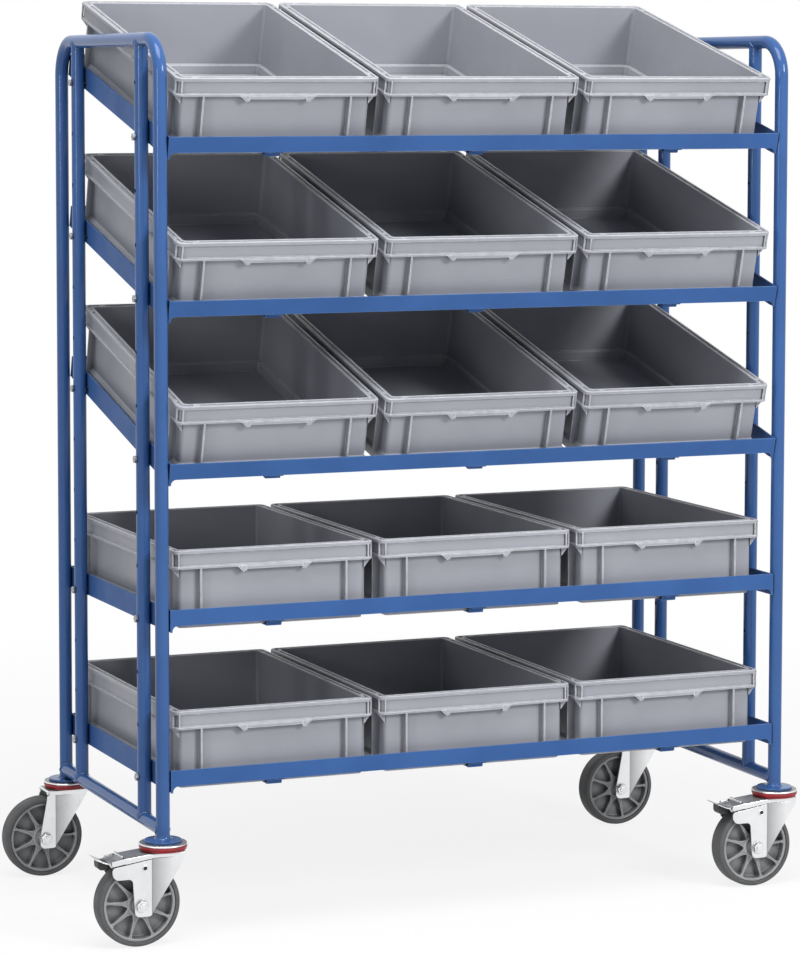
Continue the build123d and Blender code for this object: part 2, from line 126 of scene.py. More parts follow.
def paintTopShade(tree, shader, colour, look):  # painted dark reflection: faces that look up are darker and less metallic
    facing = addNode(tree, "SeparateXYZ")
    tree.links.new(addNode(tree, "NewGeometry").outputs["Normal"], facing.inputs[0])
    topShadeMask = remap(tree, facing.outputs["Z"], wearAndPaintedLight["topShadeSpan"], (0, look["topShadeShare"]))
    metal = remap(tree, topShadeMask, (0, 1), (look["metal"], wearAndPaintedLight["topShadeMetal"]))
    tree.links.new(metal, shader.inputs["Metallic"])
    return blendColour(tree, topShadeMask, colour, look["topShade"])


# painted shade: colour darkened in creases, recesses and between parts, where ambient occlusion finds them
def paintCreaseShade(tree, colour, look):
    creaseShade = addNode(tree, "AmbientOcclusion", samples=wearAndPaintedLight["creaseSamples"], Distance=look["creaseReach"])
    dark = remap(tree, creaseShade.outputs["AO"], wearAndPaintedLight["creaseSpan"], (0, look["creaseShare"]))
    return blendColour(tree, dark, colour, look["creaseShade"])


def finish(name, look):
    material = bpy.data.materials.new(name)
    material.use_nodes = True
    tree = material.node_tree
    shader = tree.nodes["Principled BSDF"]
    shader.inputs["Metallic"].default_value = look.get("metal", 0.0)
    shader.inputs["Specular IOR Level"].default_value = look.get("gloss", 0.5)
    spot = addNode(tree, "TexCoord").outputs["Object"]
    cloud = remap(tree, noiseOn(tree, spot, look["cloudScale"]), wearAndPaintedLight["cloudSpan"], (0, 1))
    colour = blendColour(tree, cloud, look["colour"], look["shade"])
    if "scuff" in look:
        colour = addScuffs(tree, spot, colour, look)
    if "edge" in look:
        colour = paintEdgeWearAndHighlight(tree, spot, colour, look)
    if "bandShade" in look:  # painted dark reflection, darker towards a pressed edge, by the piece's own attribute
        share = addNode(tree, "Attribute", attribute_name="bandShade").outputs["Fac"]
        colour = blendColour(tree, share, colour, look["bandShade"])
    if "topShade" in look:
        colour = paintTopShade(tree, shader, colour, look)
    tree.links.new(paintCreaseShade(tree, colour, look), shader.inputs["Base Color"])
    rough = noiseOn(tree, spot, look["roughScale"], wearAndPaintedLight["roughDetail"], wearAndPaintedLight["roughRoughness"])
    tree.links.new(remap(tree, rough, wearAndPaintedLight["roughSpan"], look["rough"]), shader.inputs["Roughness"])
    bump = addNode(tree, "Bump", Strength=look["bump"], Distance=look["bumpDepth"])
    tree.links.new(noiseOn(tree, spot, look["grainScale"], wearAndPaintedLight["grainDetail"]), bump.inputs["Height"])
    tree.links.new(bump.outputs["Normal"], shader.inputs["Normal"])
    return material


blueLook = {"colour": (0.034, 0.098, 0.276), "shade": (0.029, 0.086, 0.246), "cloudScale": 7, "gloss": 0.30,
            "rough": (0.10, 0.18), "roughScale": 22, "bump": 0.06, "bumpDepth": 0.0004, "grainScale": 650,
            "scuff": (0.09, 0.17, 0.36), "scuffScale": 16, "scuffStretch": (1, 1, 9), "scuffShare": 0.35,
            "edge": (0.20, 0.31, 0.54), "edgeRadius": 0.0013, "edgeShare": 0.7,
            "creaseShade": (0.010, 0.022, 0.055), "creaseReach": 0.010, "creaseShare": 0.8}
sheetLook = {**blueLook, "colour": (0.039, 0.104, 0.285), "shade": (0.033, 0.090, 0.252),
             "rough": (0.38, 0.48), "gloss": 0.10}
boxLook = {"colour": (0.323, 0.332, 0.368), "shade": (0.290, 0.299, 0.334), "cloudScale": 5, "gloss": 0.3,
           "rough": (0.36, 0.50), "roughScale": 14, "bump": 0.12, "bumpDepth": 0.0003, "grainScale": 900,
           "scuff": (0.42, 0.43, 0.45), "scuffScale": 13, "scuffStretch": (1, 1, 6), "scuffShare": 0.3,
           "edge": (0.86, 0.87, 0.88), "edgeRadius": 0.0022, "edgeShare": 0.85,
           "creaseShade": (0.085, 0.087, 0.092), "creaseReach": 0.012, "creaseShare": 0.75}
zincLook = {"colour": (0.83, 0.84, 0.85), "shade": (0.77, 0.78, 0.795), "cloudScale": 20, "metal": 1.0,
            "rough": (0.22, 0.36), "roughScale": 60, "bump": 0.10, "bumpDepth": 0.0003, "grainScale": 420,
            "scuff": (0.60, 0.59, 0.57), "scuffScale": 24, "scuffStretch": (1, 1, 5), "scuffShare": 0.25,
            "edge": (0.93, 0.93, 0.93), "edgeRadius": 0.0008, "edgeShare": 0.7,
            "topShade": (0.14, 0.143, 0.15), "topShadeShare": 0.9,
            "creaseShade": (0.10, 0.10, 0.105), "creaseReach": 0.006, "creaseShare": 0.9}
forkLook = {**zincLook, "bandShade": (0.38, 0.39, 0.40)}
shadedZincLook = {**zincLook, "colour": (0.42, 0.43, 0.44), "shade": (0.34, 0.35, 0.36)}
boltLook = {**zincLook, "colour": (0.33, 0.34, 0.36), "shade": (0.24, 0.25, 0.27)}
sealLook = {"colour": (0.30, 0.007, 0.014), "shade": (0.22, 0.005, 0.010), "cloudScale": 40,
            "rough": (0.30, 0.45), "roughScale": 50, "bump": 0.08, "bumpDepth": 0.0003, "grainScale": 900,
            "creaseShade": (0.06, 0.002, 0.003), "creaseReach": 0.005, "creaseShare": 0.8}
rimLook = {"colour": (0.245, 0.250, 0.256), "shade": (0.205, 0.209, 0.216), "cloudScale": 30,
           "rough": (0.34, 0.50), "roughScale": 40, "bump": 0.12, "bumpDepth": 0.0003, "grainScale": 1200,
           "edge": (0.66, 0.67, 0.68), "edgeRadius": 0.0022, "edgeShare": 0.85,
           "creaseShade": (0.012, 0.012, 0.013), "creaseReach": 0.018, "creaseShare": 0.8}
tyreLook = {"colour": (0.086, 0.087, 0.090), "shade": (0.066, 0.067, 0.069), "cloudScale": 25,
            "rough": (0.55, 0.75), "roughScale": 35, "bump": 0.2, "bumpDepth": 0.0004, "grainScale": 1000,
            "scuff": (0.17, 0.17, 0.165), "scuffScale": 18, "scuffStretch": (1, 4, 1), "scuffShare": 0.4,
            "creaseShade": (0.02, 0.02, 0.02), "creaseReach": 0.006, "creaseShare": 0.8}
blackLook = {"colour": (0.016, 0.016, 0.017), "shade": (0.024, 0.024, 0.025), "cloudScale": 30,
             "rough": (0.42, 0.6), "roughScale": 40, "bump": 0.15, "bumpDepth": 0.0003, "grainScale": 900,
             "creaseShade": (0.004, 0.004, 0.004), "creaseReach": 0.006, "creaseShare": 0.8}

blueCoat = finish("blueCoat", blueLook)
blueSheet = finish("blueSheet", sheetLook)
boxPlastic = finish("boxPlastic", boxLook)
zincPlate = finish("zincPlate", zincLook)
forkZinc = finish("forkZinc", forkLook)
zincShaded = finish("zincShaded", shadedZincLook)
boltSteel = finish("boltSteel", boltLook)
redSeal = finish("redSeal", sealLook)
rimPlastic = finish("rimPlastic", rimLook)
tyreRubber = finish("tyreRubber", tyreLook)
blackPlastic = finish("blackPlastic", blackLook)
print("finishes made")

# Shared shaping, all in millimetres until a piece is closed
shaping = {"toMillimetres": 1000, "merge": 0.003, "flatAngle": 0.6, "roundAngle": 40, "roundSteps": 2,
           "cornerAngle": 0.5, "rimAngle": 1.0}  # the last two in radians


def millimetres(node):
    low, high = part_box(node)
    return shaping["toMillimetres"] * low, shaping["toMillimetres"] * high


def cadCopy(node):
    bm = bmesh.new()
    bm.from_mesh(frame["nodes"][node].data)
    bmesh.ops.scale(bm, vec=[shaping["toMillimetres"]] * 3, verts=bm.verts)
    bmesh.ops.remove_doubles(bm, verts=bm.verts, dist=shaping["merge"])
    bmesh.ops.dissolve_limit(bm, angle_limit=math.radians(shaping["flatAngle"]), verts=bm.verts,
                             edges=bm.edges)
    return bm


def closePiece(name, bm, materials, body, node, sharp=35, bevel=0.0):
    mesh = bpy.data.meshes.new(name)
    bm.to_mesh(mesh)
    bm.free()
    mesh.transform(Matrix.Scale(1 / shaping["toMillimetres"], 4))
    for material in materials:
        mesh.materials.append(material)
    mesh.shade_smooth()
    mesh.set_sharp_from_angle(angle=math.radians(sharp))
    piece = bpy.data.objects.new(name, mesh)
    scene.collection.objects.link(piece)
    if bevel:
        rounding = piece.modifiers.new("rounding", "BEVEL")
        rounding.width = bevel / shaping["toMillimetres"]
        rounding.segments = shaping["roundSteps"]
        rounding.limit_method = "ANGLE"
        rounding.angle_limit = math.radians(shaping["roundAngle"])
    level = piece.modifiers.new("level", "WEIGHTED_NORMAL")
    level.keep_sharp = True
    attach(piece, body)
    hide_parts(node)


def pick(geom, kind):
    return [part for part in geom if isinstance(part, kind)]


def edgesOf(verts):
    return list(dict.fromkeys(e for v in verts for e in v.link_edges))


def facesOf(verts):
    return list(dict.fromkeys(f for v in verts for f in v.link_faces))


def soften(bm, edges, width):
    bmesh.ops.bevel(bm, geom=edges, offset=width, affect="EDGES", segments=shaping["roundSteps"],
                    profile=0.5, material=-1)


def sweep(bm, edges, frames):
    # carries a line of edges from frame to frame and returns the last one
    for last, new in zip(frames, frames[1:]):
        made = bmesh.ops.extrude_edge_only(bm, edges=edges)["geom"]
        bmesh.ops.transform(bm, matrix=new @ last.inverted(), verts=pick(made, bmesh.types.BMVert))
        edges = pick(made, bmesh.types.BMEdge)
    return edges


def closedLine(bm, verts):
    return [bm.edges.new((verts[i - 1], verts[i])) for i in range(len(verts))]


def sweepSolid(bm, section, frames):
    # section is a closed line across the first frame
    first = closedLine(bm, [bm.verts.new(frames[0] @ Vector((0, y, z))) for y, z in section])
    last = sweep(bm, first, frames)
    for edges in (first, last):
        bmesh.ops.edgeloop_fill(bm, edges=edges)
    bmesh.ops.recalc_face_normals(bm, faces=bm.faces)


def spinRing(bm, section, middle, axis, steps):
    # section is a closed line of radius and place along the axis
    middle, axis = Vector(middle), Vector(axis)
    line = [bm.verts.new(middle + Vector((radius, 0, 0)) + axis * along) for radius, along in section]
    bmesh.ops.spin(bm, geom=line + closedLine(bm, line), cent=middle, axis=axis, angle=2 * math.pi,
                   steps=steps, use_merge=True)
    bmesh.ops.recalc_face_normals(bm, faces=bm.faces)


def block(bm, low, high, soft):
    low, high = Vector(low), Vector(high)
    stretch = Matrix.Translation((low + high) / 2) @ Matrix.Diagonal((*(high - low), 1))
    made = bmesh.ops.create_cube(bm, size=1, matrix=stretch)
    soften(bm, edgesOf(made["verts"]), soft)


def slab(bm, outline, across, soft):
    face = bm.faces.new([bm.verts.new(p) for p in outline])
    made = bmesh.ops.extrude_face_region(bm, geom=[face])
    top = pick(made["geom"], bmesh.types.BMVert)
    bmesh.ops.translate(bm, vec=across, verts=top)
    faces = facesOf(top) + [face]
    bmesh.ops.recalc_face_normals(bm, faces=faces)
    edges = dict.fromkeys(e for f in faces for e in f.edges)
    soften(bm, [e for e in edges if e.calc_face_angle(0) > shaping["cornerAngle"]], soft)


def softenRims(bm, width):
    soften(bm, [e for e in bm.edges if e.calc_face_angle(0) > shaping["rimAngle"]], width)


def roundOutline(corners, steps=5):
    # each corner is a point and the radius of its arc
    outline = []
    for i, (x, z, radius) in enumerate(corners):
        here = Vector((x, z))
        back = (Vector(corners[i - 1][:2]) - here).normalized()
        ahead = (Vector(corners[(i + 1) % len(corners)][:2]) - here).normalized()
        if not radius:
            outline.append(here)
            continue
        half = back.angle(ahead) / 2
        middle = here + (back + ahead).normalized() * (radius / math.sin(half))
        start = here + back * (radius / math.tan(half)) - middle
        stop = here + ahead * (radius / math.tan(half)) - middle
        outline += [middle + start.slerp(stop, k / steps).normalized() * radius for k in range(steps + 1)]
    return outline


def bothSides(section):
    # a half outline and its mirror image, as one closed outline
    return roundOutline(list(section) + [(x, -z, radius) for x, z, radius in reversed(section)], steps=3)


def join(bm, part):
    mesh = bpy.data.meshes.new("joined")
    part.to_mesh(mesh)
    part.free()
    bm.from_mesh(mesh)
    bpy.data.meshes.remove(mesh)


def movedTo(spot, bm):
    bmesh.ops.translate(bm, vec=spot, verts=bm.verts)
    return bm


# Euro boxes
euroBox = {"halfX": 200.0, "halfY": 300.0, "height": 147.5, "corner": 13.0, "cornerShrink": 0.35,
           "cornerSteps": 5, "sharp": 40, "body": 14.0, "bandBottom": 112.0, "tuck": 2.0,
           "leanFrom": 0.1, "extraLean": 0.4,  # in radians and degrees
           "wall": (  # inset, height, rounding, from the foot up, over the rim and down to the floor
               (19.0, 0.0, 0), (17.0, 0.0, 1.8), (17.0, 13.0, 0.8), (8.0, 13.0, 2), (8.0, 25.0, 1.5),
               (14.0, 32.0, 2), (14.0, 143.5, 0), (5.8, 143.5, 0), (5.8, 112.0, 1.2), (0.2, 112.0, 1.3),
               (0.2, 116.8, 1.3), (4.2, 117.6, 0.6), (4.2, 139.4, 0.6), (0.0, 140.4, 1.6),
               (0.0, 147.5, 2.2), (5.6, 147.5, 0.8), (6.2, 144.9, 0.5), (11.0, 144.9, 0.5),
               (11.6, 147.5, 0.8), (17.0, 147.5, 1.8), (17.6, 24.0, 1.5), (22.4, 21.6, 1.2),
               (24.6, 3.0, 2.5), (34.0, 3.0, 0)),
           "underside": ((24.0, 0.0), (1.2, -1.4)),  # inset and step of a shallow panel inside the foot
           "fin": {"half": 1.9, "deep": 15.0, "shallow": 1.4, "low": 24.0, "high": 114.0, "soft": 0.7,
                   "onEnd": 145.0, "onSide": 252.0},
           "post": {"half": 1.5, "deep": 4.0, "shallow": 0.4, "low": 116.0, "high": 140.7, "soft": 0.5,
                    "onEnd": 189.0, "onSide": 289.0},
           "gusset": {"root": 15.0, "tip": 1.6, "drop": 17.0, "inset": 18.0, "thick": 4.2, "soft": 0.5},
           "grip": {"half": 66.0, "drop": 5.0, "inset": 0.2, "thick": 3.4, "soft": 0.6},
           "lug": {"outline": ((9.0, 2.0), (-9.0, 2.0), (-11.0, -8.0), (-4.0, -10.0)), "thick": 11.0,
                   "soft": 0.7},
           "mark": {"inset": 8.6, "fromCorner": 38.0, "along": 6.0, "across": 2.2, "low": 144.9,
                    "high": 147.1, "soft": 0.4}}


def firstLoop(bm, halfX, halfY, radius, z):
    stretch = Matrix.Translation((0, 0, z)) @ Matrix.Diagonal((halfX, halfY, 1, 1))
    made = bmesh.ops.create_grid(bm, x_segments=1, y_segments=1, size=1, matrix=stretch)
    cut = bmesh.ops.bevel(bm, geom=made["verts"], offset=radius, affect="VERTICES",
                          segments=euroBox["cornerSteps"], profile=0.5, material=-1)
    return list(cut["verts"][0].link_faces[0].edges)


def nextLoop(bm, edges, last, new):
    lastX, lastY, lastRadius, _ = last
    newX, newY, newRadius, newZ = new
    made = bmesh.ops.extrude_edge_only(bm, edges=edges)["geom"]
    for v in pick(made, bmesh.types.BMVert):  # each corner keeps its arc, at the new radius
        sideX, sideY = math.copysign(1, v.co.x), math.copysign(1, v.co.y)
        turnX = (v.co.x - sideX * (lastX - lastRadius)) / lastRadius
        turnY = (v.co.y - sideY * (lastY - lastRadius)) / lastRadius
        v.co = (sideX * (newX - newRadius) + turnX * newRadius,
                sideY * (newY - newRadius) + turnY * newRadius, newZ)
    return pick(made, bmesh.types.BMEdge)


def boxShell(bm):
    s = euroBox
    loops = [(s["halfX"] - p.x, s["halfY"] - p.x, s["corner"] - s["cornerShrink"] * p.x, p.y)
             for p in roundOutline(s["wall"], steps=2)]
    edges = firstLoop(bm, *loops[0])
    underside = bm.faces[:]
    for last, new in zip(loops, loops[1:]):
        edges = nextLoop(bm, edges, last, new)
    bmesh.ops.edgeloop_fill(bm, edges=edges)
    bmesh.ops.recalc_face_normals(bm, faces=bm.faces)
    for inset, step in s["underside"]:
        bmesh.ops.inset_region(bm, faces=underside, thickness=inset, depth=step)


def wallRib(bm, rib, wall, side, at):
    # an upright rib on an end wall or, with its x and y exchanged, on a side wall
    half = euroBox["halfY"] if wall == "onEnd" else euroBox["halfX"]
    near, far = sorted(side * (half - depth) for depth in (rib["deep"], rib["shallow"]))
    low, high = (at - rib["half"], near), (at + rib["half"], far)
    if wall == "onSide":
        low, high = low[::-1], high[::-1]
    block(bm, (*low, rib["low"]), (*high, rib["high"]), rib["soft"])


def boxGussets(bm, side):
    s = euroBox["gusset"]
    low = euroBox["bandBottom"]
    y = side * (euroBox["halfY"] - s["inset"])
    for x in (-1, 1):
        root, tip = x * (euroBox["halfX"] - s["root"]), x * (euroBox["halfX"] - s["tip"])
        outline = ((root, y, low + euroBox["tuck"]), (tip, y, low + euroBox["tuck"]), (tip, y, low),
                   (root, y, low - s["drop"]))
        slab(bm, outline, (0, side * s["thick"], 0), s["soft"])


def boxGrip(bm, side):
    # a deeper edge to hold the box by, with a hooked lug at each end
    s, lug = euroBox["grip"], euroBox["lug"]
    low, half, drop = euroBox["bandBottom"], s["half"], s["drop"]
    y = side * (euroBox["halfY"] - s["inset"])
    outline = ((-half, y, low + euroBox["tuck"]), (half, y, low + euroBox["tuck"]),
               (half - drop, y, low - drop), (drop - half, y, low - drop))
    slab(bm, outline, (0, -side * s["thick"], 0), s["soft"])
    for x in (-1, 1):
        outline = [(x * (half + out), side * euroBox["halfY"], low + up) for out, up in lug["outline"]]
        slab(bm, outline, (0, -side * lug["thick"], 0), lug["soft"])


def stackingMarks(bm):
    # small marks in the rim groove, two at each corner
    s = euroBox["mark"]
    onSide = (s["inset"], s["fromCorner"], s["across"], s["along"])
    onEnd = (s["fromCorner"], s["inset"], s["along"], s["across"])
    for insetX, insetY, halfX, halfY in (onSide, onEnd):
        for x in (euroBox["halfX"] - insetX, insetX - euroBox["halfX"]):
            for y in (euroBox["halfY"] - insetY, insetY - euroBox["halfY"]):
                block(bm, (x - halfX, y - halfY, s["low"]), (x + halfX, y + halfY, s["high"]), s["soft"])


def makeBox():
    bm = bmesh.new()
    boxShell(bm)
    for side in (-1, 1):
        for rib in (euroBox["fin"], euroBox["post"]):
            for wall in ("onEnd", "onSide"):
                wallRib(bm, rib, wall, side, -rib[wall])
                wallRib(bm, rib, wall, side, rib[wall])
        boxGussets(bm, side)
        boxGrip(bm, side)
    stackingMarks(bm)
    return bm


boxShape = makeBox()
lifts = {j["child"]: j["axis"] for j in frame["joints"] if j["name"].endswith("_lift")}
for node, axis in lifts.items():
    bm = boxShape.copy()
    lean = math.atan2(-axis[1], axis[2])
    low, high = millimetres(node)
    # the top rim gives the box's place: its rear edge is the highest and its front edge the foremost
    reach = euroBox["halfY"] * math.cos(lean) + euroBox["height"] * math.sin(lean)
    rise = euroBox["halfY"] * math.sin(lean) + euroBox["height"] * math.cos(lean)
    spot = Matrix.Translation(((low.x + high.x) / 2, low.y + reach, high.z - rise))
    if lean > euroBox["leanFrom"]:  # on a leaning shelf it stands a little steeper, on its front foot
        turn = Matrix.Rotation(math.radians(euroBox["extraLean"]), 3, "X")
        bmesh.ops.rotate(bm, cent=(0, euroBox["body"] - euroBox["halfY"], 0), matrix=turn, verts=bm.verts)
    bmesh.ops.transform(bm, matrix=spot @ Matrix.Rotation(lean, 4, "X"), verts=bm.verts)
    closePiece(node.replace("_box", "_euro_box"), bm, [boxPlastic], node, node,
               sharp=euroBox["sharp"])
boxShape.free()
print("euro boxes made")

# Tube frame and shelves keep the CAD shape, with rounded edges and weld beads
weld = {"tubeRadius": 13.0, "saddleRadius": 13.3, "leastDepth": 1.0, "bead": 1.9, "steps": 72, "sides": 8,
        "lumps": ((0.14, 2.2), (0.06, 0.7))}  # share of the bead and pace of each ripple
sheetBevel = 0.7
boltBevel = 0.6


def weldBead(bm, path):
    # a lumpy round bead along a closed path
    middle = sum(path, Vector()) / len(path)
    frames = []
    for i, here in enumerate(path):
        along = (path[(i + 1) % len(path)] - path[i - 1]).normalized()
        out = here - middle
        out = (out - along * out.dot(along)).normalized()
        size = weld["bead"] * (1 + sum(share * math.sin(i * pace) for share, pace in weld["lumps"]))
        turn = Matrix((out, along.cross(out), along)).transposed().to_4x4()
        frames.append(Matrix.Translation(here) @ turn @ Matrix.Scale(size, 4))
    ring = bmesh.ops.create_circle(bm, segments=weld["sides"], radius=1, matrix=frames[0])["verts"]
    first = edgesOf(ring)
    bmesh.ops.bridge_loops(bm, edges=first + sweep(bm, first, frames))
    bmesh.ops.recalc_face_normals(bm, faces=bm.faces)


def saddle(middle, run, toward):
    # where a tube that runs along one line ends on a tube across it, both of one size
    middle, run, toward = Vector(middle), Vector(run), Vector(toward)
    across = run.cross(toward)
    radius = weld["saddleRadius"]
    path = []
    for k in range(weld["steps"]):
        t = 2 * math.pi * (k + 0.5) / weld["steps"]
        side, rise = radius * math.cos(t), radius * math.sin(t)
        depth = math.sqrt(max(radius ** 2 - side ** 2, weld["leastDepth"]))
        path.append(middle + across * side + toward * rise - run * depth)
    return path


for end in ends:
    low, high = millimetres(f"{end}_bottom_bar")
    barX, barZ = (low.x + high.x) / 2, (low.z + high.z) / 2
    bowLow, bowHigh = millimetres(f"{end}_bow")
    topZ = bowHigh.z - weld["tubeRadius"]
    bm = cadCopy(f"{end}_bottom_bar")
    for legY, way in ((bowLow.y + weld["tubeRadius"], -1), (bowHigh.y - weld["tubeRadius"], 1)):
        weldBead(bm, saddle((barX, legY, barZ), (0, way, 0), (0, 0, 1)))
    closePiece(f"{end}_bottom_bar_tube", bm, [blueCoat], "frame", f"{end}_bottom_bar")
    closePiece(f"{end}_bow_tube", cadCopy(f"{end}_bow"), [blueCoat], "frame", f"{end}_bow")
    for row in rows:
        node = f"{end}_{row}_upright"
        low, high = millimetres(node)
        middleY = (low.y + high.y) / 2
        bm = cadCopy(node)
        weldBead(bm, saddle((barX, middleY, barZ), (0, 0, -1), (0, 1, 0)))
        weldBead(bm, saddle((barX, middleY, topZ), (0, 0, 1), (0, 1, 0)))
        closePiece(f"{node}_tube", bm, [blueCoat], "frame", node)
for shelf in shelves:
    for name, source in (("frame", "rails"), ("bars", "crossbars")):
        node = f"shelf_{shelf}_{source}"
        closePiece(f"shelf_{shelf}_{name}", cadCopy(node), [blueSheet], "frame", node,
                   bevel=sheetBevel)
closePiece("bolts", cadCopy("shelf_bolts"), [boltSteel], "frame", "shelf_bolts", bevel=boltBevel)
closePiece("bearings", cadCopy("swivel_bearings"), [zincPlate], "frame", "swivel_bearings",
           bevel=boltBevel)
print("frame and shelves made")

# Castors: the wheels are shaped around their own axis, the other pieces around the swivel axis
castorSet = {"trail": 52.0, "axle": 80.0, "outside": 29.5}
forkSet = {"sheet": 3.5, "soft": 0.7, "cutReach": 0.01,
           "plainPlate": ((35.0, 167.0, 3), (-48.0, 167.0, 7), (-63.5, 84.0, 40), (-64.0, 59.0, 10),
                          (-33.0, 59.0, 10)),
           "brakedPlate": ((35.0, 167.0, 3), (-24.0, 166.8, 20), (-107.0, 154.4, 5), (-107.0, 131.0, 12),
                           (-69.0, 131.0, 8), (-64.0, 59.0, 10), (-33.0, 59.0, 10)),
           "band": (-32.0, -30.6, -14.0, 10.0), "bandDepth": 1.9,
           "lidFold": ((1.0, 0.0, 0), (1.0, 1.0, 0.22), (-1.0, 1.0, 0.22), (-1.0, 0.0, 0),
                       (-0.88, 0.0, 0), (-0.88, 0.64, 0.08), (0.88, 0.64, 0.08), (0.88, 0.0, 0)),
           # along, top, foot and half width of each station of the lid
           "plainLid": ((36.0, 174.6, 166.4, 24.0), (34.6, 175.7, 166.4, 27.6), (30.0, 176.0, 166.4, 29.5),
                        (-42.0, 176.0, 166.4, 29.5), (-47.4, 175.7, 167.4, 29.0),
                        (-49.0, 174.4, 168.0, 28.2)),
           "brakedLid": ((36.0, 174.6, 166.4, 24.0), (34.6, 175.7, 166.4, 27.6), (30.0, 176.0, 166.4, 29.5),
                         (-24.0, 176.0, 168.4, 29.5), (-40.0, 175.4, 166.0, 29.5),
                         (-81.0, 171.2, 160.0, 29.5), (-82.0, 170.6, 160.2, 29.2)),
           "cheek": ((-80.0, 171.4, 0), (-108.5, 166.4, 3), (-108.5, 156.2, 3), (-80.0, 160.4, 0)),
           "cheekInside": 24.8, "cheekSoft": 1.4,
           "rivet": ((3.9, -0.6, 0), (3.9, 1.6, 0.5), (6.0, 1.6, 1.2), (6.0, -0.6, 0)), "rivetSteps": 24,
           "pivot": (-45.0, 150.0), "hole": {"radius": 4.0, "depth": 0.9, "sunk": 0.3}}


def forkPlate(corners, side):
    s = forkSet
    bm = bmesh.new()
    bm.faces.new([bm.verts.new((p.x, side * castorSet["outside"], p.y)) for p in roundOutline(corners)])
    bm.normal_update()
    for x in s["band"]:
        bmesh.ops.bisect_plane(bm, geom=bm.verts[:] + bm.edges[:] + bm.faces[:], plane_co=(x, 0, 0),
                               plane_no=(1, 0, 0), dist=s["cutReach"])
    start, foot, rise, stop = s["band"]
    bandShade = bm.verts.layers.float.new("bandShade")
    for v in bm.verts:  # the upright band is pressed inwards, sharply at one edge and softly at the other, and its painted dark reflection is strongest by the sharp edge
        inward = (v.co.x - start) / (foot - start)
        outward = stop - v.co.x
        v[bandShade] = max(min(inward, outward / (stop - foot)), 0)
        v.co.y -= side * s["bandDepth"] * max(min(inward, outward / (stop - rise), 1), 0)
    made = bmesh.ops.extrude_face_region(bm, geom=bm.faces[:])
    bmesh.ops.translate(bm, vec=(0, -side * s["sheet"], 0), verts=pick(made["geom"], bmesh.types.BMVert))
    bmesh.ops.recalc_face_normals(bm, faces=bm.faces)
    softenRims(bm, s["soft"])
    return bm


def forkLid(stations):
    bm = bmesh.new()
    bm.verts.layers.float.new("bandShade")  # the plates bring values of their own
    frames = []
    for x, top, foot, half in stations:
        frames.append(Matrix.Translation((x, 0, foot)) @ Matrix.Diagonal((1, half, top - foot, 1)))
    sweepSolid(bm, roundOutline(forkSet["lidFold"], steps=4), frames)
    return bm


def pedalRivet(bm, side):
    # the hollow rivet that the pedal turns on, with a black disc in it as painted shade
    s = forkSet
    x, z = s["pivot"]
    spot = Vector((x, side * castorSet["outside"], z))
    spinRing(bm, roundOutline(s["rivet"], steps=3), spot, (0, side, 0), s["rivetSteps"])
    hole = s["hole"]
    place = Matrix.Translation(spot - Vector((0, side * hole["sunk"], 0)))
    made = bmesh.ops.create_cone(bm, cap_ends=True, segments=s["rivetSteps"], radius1=hole["radius"],
                                 radius2=hole["radius"], depth=hole["depth"],
                                 matrix=place @ Matrix.Rotation(-side * math.pi / 2, 4, "X"))
    # painted shade: the disc takes the black plastic
    for face in facesOf(made["verts"]):
        face.material_index = 1


def makeFork(kind):
    s = forkSet
    bm = forkLid(s[kind + "Lid"])
    for side in (-1, 1):
        join(bm, forkPlate(s[kind + "Plate"], side))
        if kind == "braked":  # folded edge beside the pedal
            out, inside = side * castorSet["outside"], side * s["cheekInside"]
            outline = [(p.x, out, p.y) for p in roundOutline(s["cheek"], steps=3)]
            slab(bm, outline, (0, inside - out, 0), s["cheekSoft"])
            pedalRivet(bm, side)
    return bm


axleSet = {"rod": ((0.2, -26.0, 0), (5.9, -26.0, 0), (5.9, 26.0, 0), (0.2, 26.0, 0)),
           "washer": ((0.2, 0.0, 0), (12.2, 0.0, 0.5), (12.2, 1.6, 0.5), (0.2, 1.6, 0)),
           "tip": ((0.2, 5.0, 0), (5.8, 5.0, 0), (5.8, 8.8, 1.1), (0.2, 8.8, 0)),
           "steps": 32, "washerSteps": 40,
           "nut": {"sides": 6, "radius": 10.9, "depth": 4.4, "out": 3.8, "turn": 12, "inset": 1.5,
                   "rise": 1.0, "capFrom": 0.5}}


def axleNut(bm, out, side):
    s = axleSet["nut"]
    turn = Matrix.Rotation(-side * math.pi / 2, 4, "X") @ Matrix.Rotation(math.radians(s["turn"]), 4, "Z")
    spot = Matrix.Translation(out + Vector((0, side * s["out"], 0)))
    made = bmesh.ops.create_cone(bm, cap_ends=True, segments=s["sides"], radius1=s["radius"],
                                 radius2=s["radius"], depth=s["depth"], matrix=spot @ turn)
    faces = facesOf(made["verts"])
    for face in faces:  # painted shade: the flats are darker than the caps
        face.material_index = int(abs(face.normal.y) < s["capFrom"])
    caps = [f for f in faces if f.normal.y * side > s["capFrom"]]
    bmesh.ops.inset_individual(bm, faces=caps, thickness=s["inset"], depth=s["rise"])


def makeAxle():
    s = axleSet
    bm = bmesh.new()
    middle = Vector((-castorSet["trail"], 0, castorSet["axle"]))
    spinRing(bm, roundOutline(s["rod"]), middle, (0, 1, 0), s["steps"])
    for side in (-1, 1):
        out = middle + Vector((0, side * castorSet["outside"], 0))
        spinRing(bm, roundOutline(s["washer"], steps=2), out, (0, side, 0), s["washerSteps"])
        spinRing(bm, roundOutline(s["tip"], steps=2), out, (0, side, 0), s["steps"])
        axleNut(bm, out, side)
    return bm


